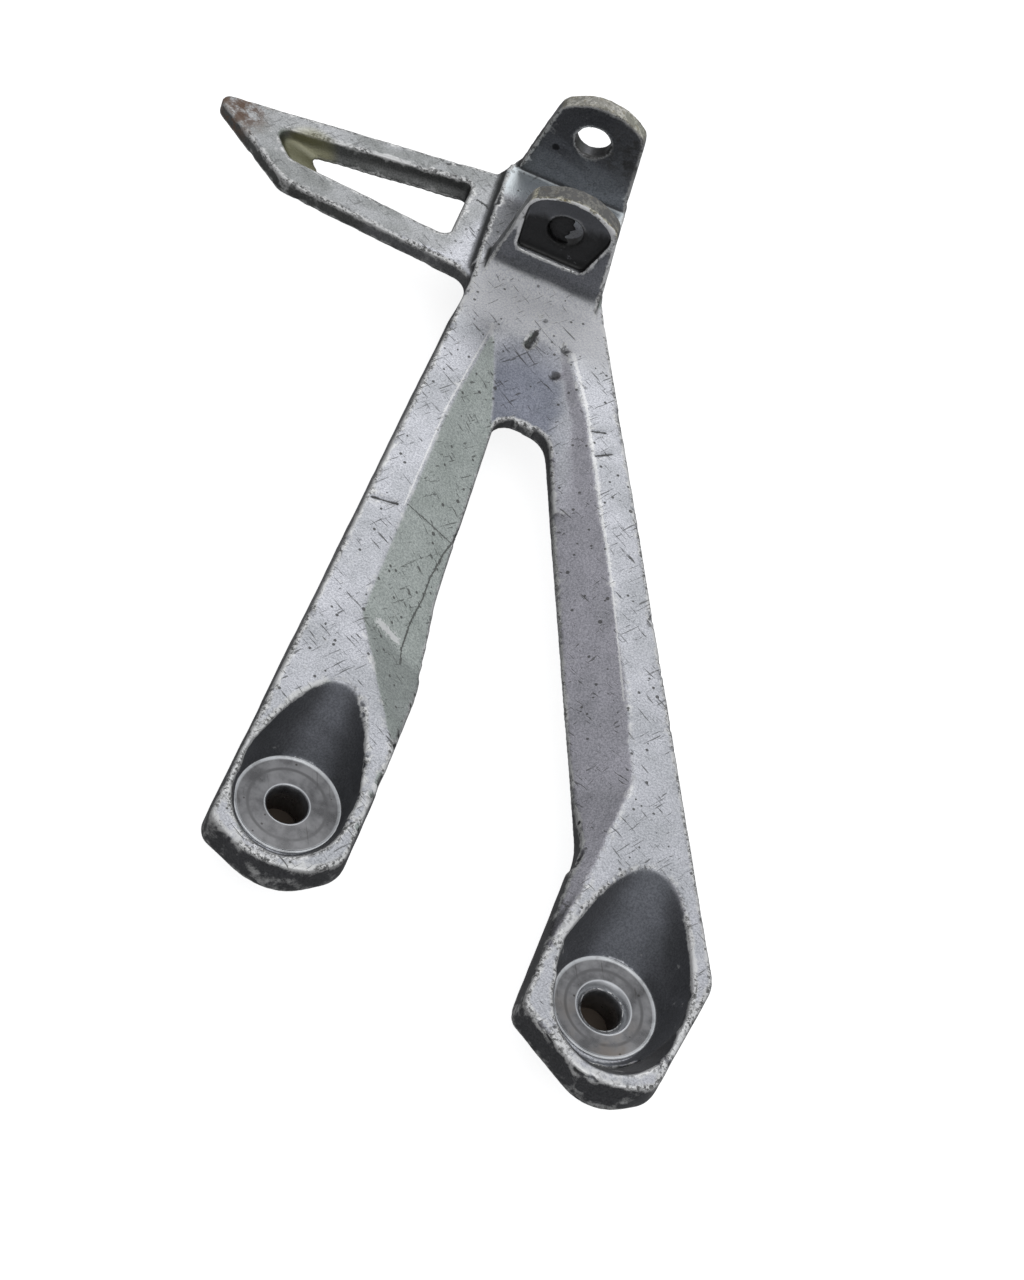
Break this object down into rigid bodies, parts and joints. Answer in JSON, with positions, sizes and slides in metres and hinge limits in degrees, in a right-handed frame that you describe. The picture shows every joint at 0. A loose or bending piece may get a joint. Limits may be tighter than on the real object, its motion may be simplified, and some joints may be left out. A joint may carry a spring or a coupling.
{
  "type": "motorcycle footrest hanger",
  "caption": "Cast aluminium footrest hanger: two diverging legs with recessed bolt bosses, a clevis for the footrest pin and a windowed side wing.",
  "frame": {"origin": "axis of the long leg's bolt hole on the mounting face", "axes": "+Z along the bolt holes, away from the motorcycle's frame; +Y along the footrest pin's axis, from the bolt bosses towards the clevis; +X from the short leg towards the long leg; the wing points to -X"},
  "size_m": [0.1571, 0.2328, 0.0466],
  "materials": {
    "casting": "satin silver paint over cast aluminium, worn and scratched"
  },
  "bodies": {
    "root": {"hanger_casting": "casting"}
  },
  "joints": []
}
